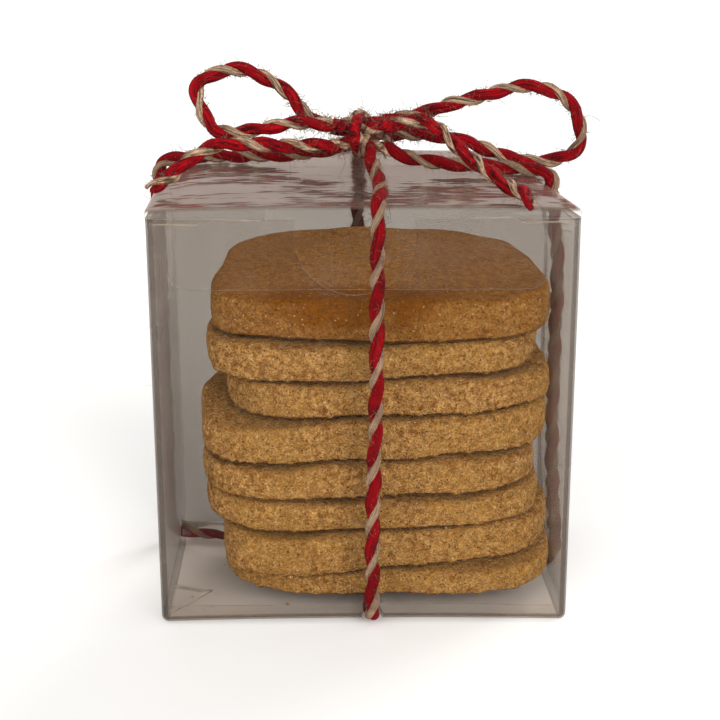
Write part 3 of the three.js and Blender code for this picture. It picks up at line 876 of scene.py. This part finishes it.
def makeDustFlap(name, side):
    reach = dustFlap["reach"]
    half = halfDepth - dustFlap["inset"]
    nearRim = (1.3, 0.7, 0.3)
    linesX = [0.5, 1, 1.5, 2, 4, 6] + evenly(8, 11, 12) + evenly(12.5, reach - 2, 5)
    linesX += [reach - inset for inset in nearRim]
    linesY = evenly(-half + 2, half - 2, 12)
    linesY += [sign * (half - inset) for sign in (-1, 1) for inset in nearRim]
    bm = flatSheet(0, reach, -half, half, linesX, linesY)
    farHalf = [vert for vert in bm.verts if vert.co.x > reach / 2]
    roundSheet(farHalf, -reach, reach, -half, half, dustFlap["round"])
    for vert in bm.verts:
        vert.co.y *= 1 - dustFlap["shoulder"] * smoothStep(vert.co.x, *dustFlap["shoulderEnds"])
        along, y = vert.co.x, vert.co.y
        drop = dustFlap["foldDrop"] * math.exp(-along / dustFlap["foldReach"])
        drop += dustFlap["frontDrop"] * smoothStep(-y, 4, half)
        z = box["wallTop"] - dustFlap["below"] - dustFlap["sag"] * along - drop
        x = side * (halfWidth - dustFlap["sideGap"] - along)
        vert.co = (pinch(x, y, z), y, z + waviness(x, y, z) * 0.5)
    bmesh.ops.recalc_face_normals(bm, faces=bm.faces)
    finishFilm(name, bm, [flapFilm, cutEdge])


# The corner of a floor flap that stands off the floor at the front left, with a crease across it.
gusset = {
    "corners": [(-36.8, -9.4), (-36.8, -23.0), (-29.2, -12.6)],
    "cuts": 5,
    "lift": 0.7,
    "creaseLift": 0.5,
    "creaseReach": 1.5,
}


def makeGusset():
    bm = bmesh.new()
    verts = [bm.verts.new((x, y, 0)) for x, y in gusset["corners"]]
    bm.faces.new(verts)
    bmesh.ops.subdivide_edges(bm, edges=bm.edges[:], cuts=gusset["cuts"], use_grid_fill=True)
    outer, inner = [Vector(point) for point in gusset["corners"][1:]]
    crease = (inner - outer).normalized()
    for vert in bm.verts:
        x, y = vert.co.x, vert.co.y
        away = abs((Vector((x, y)) - outer).cross(crease))
        creased = gusset["creaseLift"] * math.exp(-away / gusset["creaseReach"])
        vert.co.z = floorRise(x, y) + box["film"] + gusset["lift"] + creased
    bmesh.ops.recalc_face_normals(bm, faces=bm.faces)
    finishFilm("floorFlapCorner", bm, [gussetFilm, cutEdge])


# The floor's own tuck flap stands a few millimetres up behind the front wall.
floorTuck = {"left": -36.4, "right": 36.0, "low": 0.6, "high": 2.9, "behind": 0.9}


def makeFloorTuck():
    bm = flatSheet(floorTuck["left"], floorTuck["right"], floorTuck["low"], floorTuck["high"],
                   evenly(-34, 34, 68), [1.7])
    for vert in bm.verts:
        x, rise = vert.co.x, vert.co.y
        lifted = rise + floorRise(x, -halfDepth) * (1 - rise / 12)
        vert.co = (x, -halfDepth + floorTuck["behind"], lifted + waviness(x, 0, rise))
    bmesh.ops.recalc_face_normals(bm, faces=bm.faces)
    finishFilm("floorTuckFlap", bm, [flapFilm, cutEdge])


makeWalls()
makeLid()
makeGusset()
makeFloorTuck()
makeDustFlap("dustFlapLeft", -1)
makeDustFlap("dustFlapRight", 1)
print("clear film folded")


# Thick hand-cut crackers, each lying on a plane that tips up to the back.
crackerStack = {
    "halfDepth": 21.2,
    "tilt": 0.0945,
    "frontPower": 3.6,
    "taper": 0.14,
    "edge": 1.35,
    "upperPower": 2.5,
    "lowerPower": 2.8,
    "sideReach": 0.9,
    "inFromRim": 0.35,
    "wander": 1.1,
    "wanderTurns": 2.6,
    "waves": ((15, 0.5), (6, 0.22)),
    "gap": 0.75,
    "gapSwing": 0.9,
    "gapLength": 11,
    "gapLeast": 0.45,
    "gapMost": 1.35,
    "gapOpens": (0.4, 0.8),
    "bottomClear": 0.1,
    "topClear": 0.15,
    "floorClear": 0.15,
    "cuts": (169, 83, 23),
    "topPlane": {"height": 64.0, "slope": 0.003},
}
# Each row is one cracker, top first: height and slope of its underside, half width, place, turn in degrees
# and how square its back edge is. The top one also tapers more and has its back right corner trimmed off.
crackerRows = [
    {"height": 55.2, "slope": 0.003, "halfWidth": 34.45, "x": 3.15, "y": 1.5, "turn": -0.8, "back": 3.8,
     "taper": 0.2, "trim": 1.8},
    {"height": 48.2, "slope": 0.004, "halfWidth": 33.2, "x": 1.1, "y": 1.3, "turn": 3.9, "back": 3.2},
    {"height": 40.8, "slope": 0.012, "halfWidth": 32.3, "x": 4.3, "y": 1.4, "turn": 3.5, "back": 3.2},
    {"height": 32.6, "slope": 0.007, "halfWidth": 34.75, "x": 1.2, "y": 0.5, "turn": 7.2, "back": 3.0},
    {"height": 25.8, "slope": 0.010, "halfWidth": 33.75, "x": 0.55, "y": -0.2, "turn": 3.5, "back": 3.2},
    {"height": 19.2, "slope": 0.006, "halfWidth": 33.7, "x": 1.7, "y": 0.1, "turn": 2.1, "back": 3.2},
    {"height": 10.5, "slope": 0.028, "halfWidth": 33.75, "x": 3.1, "y": 0.5, "turn": 7.2, "back": 3.0},
    {"height": 5.3, "slope": 0.008, "halfWidth": 33.65, "x": 4.85, "y": 1.0, "turn": -2.8, "back": 3.2},
]


# Baked wholemeal dough: dry, matte and sandy. Golden tan, browner where the oven caught its upper edges and
# darker on its undersides, partly baked colour and partly painted shade for the gaps between crackers, with
# dark bran specks 0.3 mm across, pale sugar grains and a fine crumb of open pores.
def makeCrumbMaterial():
    material, tree = newMaterial("baked graham dough")
    place = millimetres(tree)
    toastAndGapShade = addNode(tree, "ShaderNodeAttribute", {"attribute_name": "toastAndGapShade"}).outputs["Fac"]
    broad = addNode(tree, "ShaderNodeTexNoise", {"Scale": 0.09, "Detail": 3.0}, {"Vector": place})
    mottle = addNode(tree, "ShaderNodeTexNoise", {"Scale": 0.75, "Detail": 4.0, "Roughness": 0.65},
                     {"Vector": place})
    grain = addNode(tree, "ShaderNodeTexNoise", {"Scale": 3.0, "Detail": 3.0, "Roughness": 0.7},
                    {"Vector": place})
    tone = addNode(tree, "ShaderNodeMapRange", {"From Min": 0.36, "From Max": 0.64},
                   {"Value": mottle.outputs[0]})
    base = addNode(tree, "ShaderNodeMixRGB", {"Color1": linearColour("#8c5c24"),
                                             "Color2": linearColour("#c89a5a")}, {"Fac": tone})
    wide = addNode(tree, "ShaderNodeMapRange", {"From Min": 0.4, "From Max": 0.62, "To Max": 0.5},
                   {"Value": broad.outputs[0]})
    warm = addNode(tree, "ShaderNodeMixRGB", {"Color2": linearColour("#b08440")},
                   {"Fac": wide, "Color1": base})
    toastAndShadeShare = addNode(tree, "ShaderNodeMath", {"operation": "MULTIPLY", "use_clamp": True, 1: 0.95},
                         {0: toastAndGapShade})
    brownedAndShaded = addNode(tree, "ShaderNodeMixRGB", {"Color2": linearColour("#824c02")},
                      {"Fac": toastAndShadeShare, "Color1": warm})
    sandShare = addNode(tree, "ShaderNodeMapRange",
                        {"From Min": 0.34, "From Max": 0.66, "To Min": 0.68, "To Max": 1.26},
                        {"Value": grain.outputs[0]})
    # Meal grains a third of a millimetre across, each with a tone of its own.
    kernels = addNode(tree, "ShaderNodeTexVoronoi", {"Scale": 3.0}, {"Vector": place})
    kernelTone = addNode(tree, "ShaderNodeSeparateColor", links={"Color": kernels.outputs["Color"]})
    kernelShare = addNode(tree, "ShaderNodeMapRange", {"To Min": 0.76, "To Max": 1.26},
                          {"Value": kernelTone.outputs[0]})
    sandAll = addNode(tree, "ShaderNodeMath", {"operation": "MULTIPLY"}, {0: sandShare, 1: kernelShare})
    sandTone = addNode(tree, "ShaderNodeCombineColor", links={0: sandAll, 1: sandAll, 2: sandAll})
    sanded = addNode(tree, "ShaderNodeMixRGB", {"blend_type": "MULTIPLY", "Fac": 1.0},
                     {"Color1": brownedAndShaded, "Color2": sandTone})
    bran = addNode(tree, "ShaderNodeTexVoronoi", {"Scale": 1.0}, {"Vector": place})
    branRim = addNode(tree, "ShaderNodeMapRange",
                      {"From Min": 0.11, "From Max": 0.2, "To Min": 0.9, "To Max": 0.0},
                      {"Value": bran.outputs["Distance"]})
    dotted = addNode(tree, "ShaderNodeMixRGB", {"Color2": linearColour("#46200c")},
                     {"Fac": branRim, "Color1": sanded})
    sugar = addNode(tree, "ShaderNodeTexVoronoi", {"Scale": 0.85}, {"Vector": place})
    sugarRim = addNode(tree, "ShaderNodeMapRange",
                       {"From Min": 0.07, "From Max": 0.15, "To Min": 0.6, "To Max": 0.0},
                       {"Value": sugar.outputs["Distance"]})
    sugared = addNode(tree, "ShaderNodeMixRGB", {"Color2": linearColour("#ecd29c")},
                      {"Fac": sugarRim, "Color1": dotted})
    pores = addNode(tree, "ShaderNodeTexVoronoi", {"Scale": 1.6}, {"Vector": place})
    poreDepth = addNode(tree, "ShaderNodeMapRange", {"From Min": 0.0, "From Max": 0.45},
                        {"Value": pores.outputs["Distance"]})
    rough = addNode(tree, "ShaderNodeMath", {"operation": "MULTIPLY_ADD", 1: 1.2},
                    {0: grain.outputs[0], 2: poreDepth})
    height = addNode(tree, "ShaderNodeMath", {"operation": "MULTIPLY_ADD", 1: 1.4},
                     {0: mottle.outputs[0], 2: rough})
    bump = addNode(tree, "ShaderNodeBump", {"Strength": 1.0, "Distance": 0.0005}, {"Height": height})
    shader = addNode(tree, "ShaderNodeBsdfPrincipled", {"Roughness": 0.85, "Specular IOR Level": 0.1},
                     {"Base Color": sugared, "Normal": bump})
    addNode(tree, "ShaderNodeOutputMaterial", links={"Surface": shader})
    return material


bakedCrumb = makeCrumbMaterial()


def planeHeight(plane, x, y):
    return plane["height"] + plane["slope"] * x + crackerStack["tilt"] * y


# Both faces beside one plane follow the same slow waves, so that neighbours never meet.
def planeWave(index, x, y):
    return layeredNoise(Vector((x, y, index * 31.7)), crackerStack["waves"])


def planeGap(index, x, y):
    length = crackerStack["gapLength"]
    swing = crackerStack["gapSwing"] * noise.noise(Vector((x / length, y / length, index * 17.3 + 5)))
    return clamp(crackerStack["gap"] + swing, crackerStack["gapLeast"], crackerStack["gapMost"])


def addGrid(bm, cuts):
    for axis, count in enumerate(cuts):
        along = [edge for edge in bm.edges
                 if abs(edge.verts[0].co[axis] - edge.verts[1].co[axis]) > 1.0]
        bmesh.ops.subdivide_edges(bm, edges=along, cuts=count, use_grid_fill=True)


# The section of a cracker's edge, squarer below than above: height from -1 to 1, and how far in from the rim.
def edgeSection(w, ring, reach):
    edge = crackerStack["edge"]
    power = crackerStack["upperPower"] if w > 0 else crackerStack["lowerPower"]
    lipRise = crackerStack["sideReach"]
    lipInset = edge * (1 - (1 - lipRise ** power) ** (1 / power))
    onSide = abs(w) < 0.9999
    if onSide:
        rise = lipRise * w
        return rise, edge * (1 - (1 - abs(rise) ** power) ** (1 / power))
    inset = lipInset + (1 - ring) * (reach - lipInset)
    rise = (1 - max(0, 1 - inset / edge) ** power) ** (1 / power)
    return math.copysign(rise, w), inset


# Draws a cube out to one cracker: its rim is a rounded square, and its faces follow the planes beside it.
def shapeCracker(bm, index):
    own = {"taper": crackerStack["taper"], "trim": 0.0, **crackerRows[index]}
    above = crackerRows[index - 1] if index else crackerStack["topPlane"]
    turn = math.radians(own["turn"])
    seed = Vector((index * 41.3, 9.1, 3.7))
    turns = crackerStack["wanderTurns"]
    for vert in bm.verts:
        u, v, w = vert.co
        m = max(abs(u), abs(v))
        if m < 1e-6:
            side, out, ring = 0, 0, 0
        else:
            power = crackerStack["frontPower"] if v < 0 else own["back"]
            scale = 1 / (abs(u / m) ** power + abs(v / m) ** power) ** (1 / power)
            side, out, ring = u / m * scale, v / m * scale, m
        rimX = own["halfWidth"] * side * (1 - own["taper"] * (1 + out) / 2)
        rimY = crackerStack["halfDepth"] * out
        reach = max(1e-6, math.hypot(rimX, rimY))
        angle = math.atan2(out, side)
        wander = noise.noise(Vector((math.cos(angle) * turns, math.sin(angle) * turns, 0)) + seed)
        trimmed = own["trim"] * max(0, math.cos(angle - math.pi / 4)) ** 4
        rise, inset = edgeSection(w, ring, reach)
        inset += (crackerStack["inFromRim"] + wander * crackerStack["wander"] + trimmed) * ring
        share = max(0, 1 - inset / reach)
        x, y = rimX * share, rimY * share
        px = own["x"] + x * math.cos(turn) - y * math.sin(turn)
        py = own["y"] + x * math.sin(turn) + y * math.cos(turn)
        bottom = planeHeight(own, px, py) + planeWave(index + 1, px, py) + crackerStack["bottomClear"]
        top = planeHeight(above, px, py) + planeWave(index, px, py)
        opened = smoothStep(ring, *crackerStack["gapOpens"])
        top -= planeGap(index, px, py) * opened + crackerStack["topClear"]
        if index == len(crackerRows) - 1:
            bottom = planeHeight(own, px, py) + crackerStack["floorClear"]
        vert.co = (px, py, mix(bottom, top, (1 + rise) / 2))


# The crust's relief in mm, which fades on the flat faces, and how much each part of it is browned; the
# browning of the undersides is partly baked colour and partly painted shade for the gaps between crackers.
# The scorch is a darker patch on the front of the top cracker.
crust = {
    "lumps": ((9, 0.35), (3.4, 0.2)),
    "crumb": ((1.35, 0.14), (0.62, 0.15)),
    "onFlat": 0.12,
    "raggedLip": 0.8,
    "brownEdge": 0.3,
    "brownFlat": 0.2,
    "brownUnderAndGapShade": 1.4,
    "brownTopOne": 0.5,
    "scorch": 1.3,
    "scorchPlace": (-2, 60.5),
    "scorchSize": (13, 4.2),
}


# How near a place is to the middle of the scorch.
def scorchShare(x, y, z):
    (middleX, middleZ), (sizeX, sizeZ) = crust["scorchPlace"], crust["scorchSize"]
    near = math.exp(-((x - middleX) / sizeX) ** 2 - ((z - middleZ) / sizeZ) ** 2)
    return near * smoothStep(-y, 10, 16)


def roughenCracker(bm, index):
    toastAndGapShade = bm.verts.layers.float.new("toastAndGapShade")
    bm.normal_update()
    seed = Vector((index * 13.7, 2.3, 8.9))
    moves = []
    for vert in bm.verts:
        spot = Vector(vert.co) + seed * 10
        flat = smoothStep(abs(vert.normal.z), 0.55, 0.97)
        relief = layeredNoise(spot, crust["lumps"]) + layeredNoise(spot, crust["crumb"])
        lowerLip = math.exp(-((vert.normal.z + 0.75) / 0.22) ** 2)
        ragged = max(0, noise.noise(spot / 1.1 + Vector((3, 3, 3)))) * crust["raggedLip"] * lowerLip
        moves.append(vert.normal * (relief * mix(1, crust["onFlat"], flat) + ragged))
        upperEdge = smoothStep(vert.normal.z, 0.2, 0.8) * (1 - flat)
        # Undersides are browned darker: partly baked colour, partly painted shade in the gaps between
        # crackers.
        under = smoothStep(-vert.normal.z, 0.6, 0.9)
        vert[toastAndGapShade] = crust["brownEdge"] * upperEdge + crust["brownFlat"] * flat + crust["brownUnderAndGapShade"] * under
        if index == 0:
            patchy = 0.8 + 0.6 * noise.noise(spot / 3)
            vert[toastAndGapShade] += crust["brownTopOne"] + crust["scorch"] * scorchShare(*vert.co) * patchy
    for vert, move in zip(bm.verts, moves):
        vert.co += move


def makeCrackers():
    for index in range(len(crackerRows)):
        bm = bmesh.new()
        bmesh.ops.create_cube(bm, size=2)
        addGrid(bm, crackerStack["cuts"])
        shapeCracker(bm, index)
        bmesh.ops.recalc_face_normals(bm, faces=bm.faces)
        roughenCracker(bm, index)
        finishPiece(f"grahamCracker{index + 1}", bm, [bakedCrumb], "cracker", f"cracker_{index + 1}")


makeCrackers()
print("crackers baked")


# Crumbs that have dropped to the floor film, most of them near the front, one stray that shows in the photo,
# and a few that cling to the seventh cracker's edge.
crumbs = {
    "seed": 5,
    "count": 45,
    "smallest": 0.1,
    "largest": 0.34,
    "acrossX": (-35, 33),
    "front": -22.5,
    "backReach": 41,
    "stray": (-14.6, -17.0, 0.45),
    "lip": (-16.0, -22.3, 8.2),
    "lipCount": 9,
    "lipSpread": 1.3,
    "lipSizes": (0.35, 0.75),
}


def makeCrumbs():
    draw = random.Random(crumbs["seed"])
    bm = bmesh.new()
    spots = [(draw.uniform(*crumbs["acrossX"]), crumbs["front"] + crumbs["backReach"] * draw.random() ** 2,
              mix(crumbs["smallest"], crumbs["largest"], draw.random() ** 2.5))
             for _ in range(crumbs["count"])]
    spots.append(crumbs["stray"])
    places = [(x, y, floorRise(x, y) + box["film"] + size * 0.5, size) for x, y, size in spots]
    lipX, lipY, lipZ = crumbs["lip"]
    for _ in range(crumbs["lipCount"]):
        places.append((lipX + draw.gauss(0, crumbs["lipSpread"]), lipY, lipZ + draw.uniform(-0.2, 0.6),
                       draw.uniform(*crumbs["lipSizes"])))
    for x, y, z, size in places:
        made = bmesh.ops.create_icosphere(bm, subdivisions=1, radius=size)["verts"]
        for vert in made:
            vert.co *= 0.75 + 0.5 * draw.random()
        bmesh.ops.scale(bm, vec=(1, draw.uniform(0.6, 1), 0.6), verts=made)
        bmesh.ops.translate(bm, vec=(x, y, z), verts=made)
    finishPiece("looseCrumbs", bm, [bakedCrumb], "cracker")


makeCrumbs()


# The white paper sweep that the pack stands on: matte, with a barely felt tooth.
paper = {"halfWidth": 15, "below": 0.0001}


def makeFloor():
    material, tree = newMaterial("white studio paper")
    place = millimetres(tree)
    fibre = addNode(tree, "ShaderNodeTexNoise", {"Scale": 0.5, "Detail": 4.0}, {"Vector": place})
    bump = addNode(tree, "ShaderNodeBump", {"Strength": 0.05, "Distance": 0.0002},
                   {"Height": fibre.outputs[0]})
    shader = addNode(tree, "ShaderNodeBsdfPrincipled",
                     {"Base Color": linearColour("#f6f5f3"), "Roughness": 0.9}, {"Normal": bump})
    addNode(tree, "ShaderNodeOutputMaterial", links={"Surface": shader})
    bm = bmesh.new()
    bmesh.ops.create_grid(bm, x_segments=8, y_segments=8, size=paper["halfWidth"])
    bmesh.ops.translate(bm, vec=(0, 0, -paper["below"]), verts=bm.verts)
    addSolid("studioFloor", bm, [material])


# Broad soft lights: where each stands in degrees round from the front and up, its spread and its strength.
studio = {
    "world": 0.6,
    "worldColour": (1, 0.995, 0.985, 1),
    "lights": [
        {"name": "rightLight", "round": 30, "up": 24, "spread": 40, "strength": 2.5},
        {"name": "leftLight", "round": -38, "up": 24, "spread": 40, "strength": 1.35},
        {"name": "backLight", "round": 142, "up": 30, "spread": 30, "strength": 1.4},
    ],
}


def makeLights():
    world = bpy.data.worlds.new("studio")
    bpy.context.scene.world = world
    world.use_nodes = True
    background = world.node_tree.nodes["Background"]
    background.inputs["Color"].default_value = studio["worldColour"]
    background.inputs["Strength"].default_value = studio["world"]
    for lamp in studio["lights"]:
        light = bpy.data.lights.new(lamp["name"], "SUN")
        light.angle = math.radians(lamp["spread"])
        light.energy = lamp["strength"]
        holder = addObject(lamp["name"], light)
        holder.rotation_euler = (math.radians(90 - lamp["up"]), 0, math.radians(lamp["round"]))
    bpy.context.scene.view_settings.view_transform = "Standard"
    # A ray to the back passes up to a dozen sheets and rims of film.
    bpy.context.scene.cycles.transparent_max_bounces = 32


makeFloor()
makeLights()
print("studio lit")
